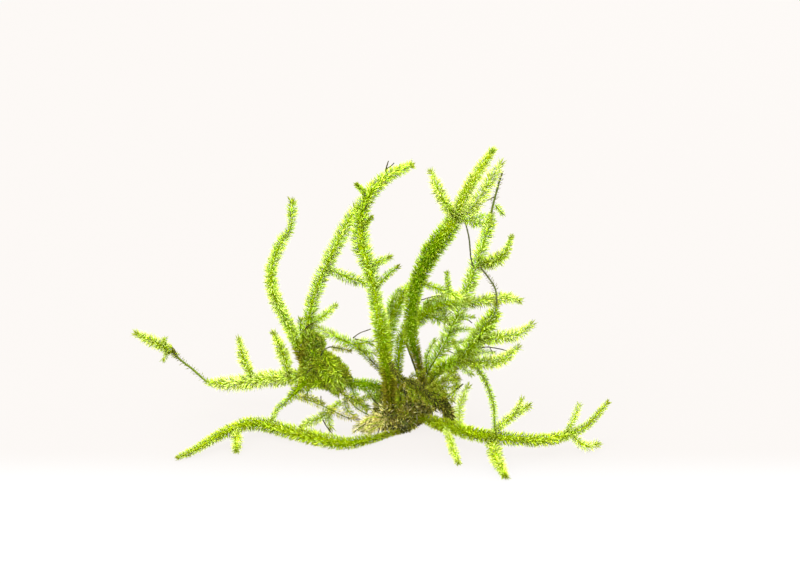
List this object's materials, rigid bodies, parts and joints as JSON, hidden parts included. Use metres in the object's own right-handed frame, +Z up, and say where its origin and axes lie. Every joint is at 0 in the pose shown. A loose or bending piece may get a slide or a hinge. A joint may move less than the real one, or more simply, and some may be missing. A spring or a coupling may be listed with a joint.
{
  "type": "moss clump",
  "caption": "Clump of aquarium moss: slender leafy shoots fan upward and sideways from a small brown mat that is cut off flat underneath.",
  "frame": {"origin": "the middle of the mat's flat underside, where the clump stands on a surface", "axes": "+Z up, +X to the clump's right as its front is seen, +Y to its back"},
  "size_m": [0.0948, 0.0505, 0.0599],
  "materials": {
    "leaf_bright": "bright yellow-green leaves, thin, soft and slightly see-through",
    "leaf_green": "mid-green leaves, thin, soft and slightly see-through",
    "leaf_dark": "older dark green leaves, close together, damp",
    "leaf_tan": "dry pale tan leaves, matte",
    "stem_brown": "olive-brown matted stems and rhizoids, matte",
    "stub_dark": "nearly black old stem, matte"
  },
  "bodies": {
    "root": {"crown_mat": "stem_brown", "left_knot": "stem_brown", "thick_frond": "leaf_dark", "tall_left_frond": "leaf_green", "low_left_frond": "leaf_bright", "right_arm_frond": "leaf_bright", "slender_right_frond": "leaf_green", "right_mid_frond": "leaf_green", "left_arm_frond": "leaf_bright", "left_curl_frond": "leaf_green", "left_upright_frond": "leaf_green", "fork_frond": "leaf_dark", "broad_side_frond": "leaf_green", "thick_left_branch": "leaf_bright", "thick_twin_branch": "leaf_bright", "thick_right_branch": "leaf_green", "thick_bare_twig": "stem_brown", "crossing_shoot": "leaf_green", "hook_branch": "leaf_bright", "level_branch": "leaf_bright", "right_mid_upper_branch": "leaf_bright", "right_mid_lower_branch": "leaf_bright", "drooping_stem": "leaf_dark", "right_arm_up_branch": "leaf_bright", "right_arm_end_branch": "leaf_bright", "right_arm_fork_branch": "leaf_bright", "right_arm_down_branch": "leaf_bright", "pale_down_shoot": "leaf_bright", "pale_upright_shoot": "leaf_bright", "dark_stub": "stub_dark", "dark_curved_stem": "stub_dark", "short_olive_shoot": "stem_brown", "thin_brown_stem": "stem_brown", "tan_tuft": "leaf_tan", "bridge_frond": "leaf_dark", "brown_knot_stem": "stem_brown", "grey_stem": "stem_brown", "knot_drop_shoot": "leaf_dark", "brown_leafy_stem": "stem_brown", "small_bright_frond": "leaf_bright", "upper_arch_frond": "leaf_green", "back_left_shoot": "leaf_green", "back_right_shoot": "leaf_green"}
  },
  "joints": []
}
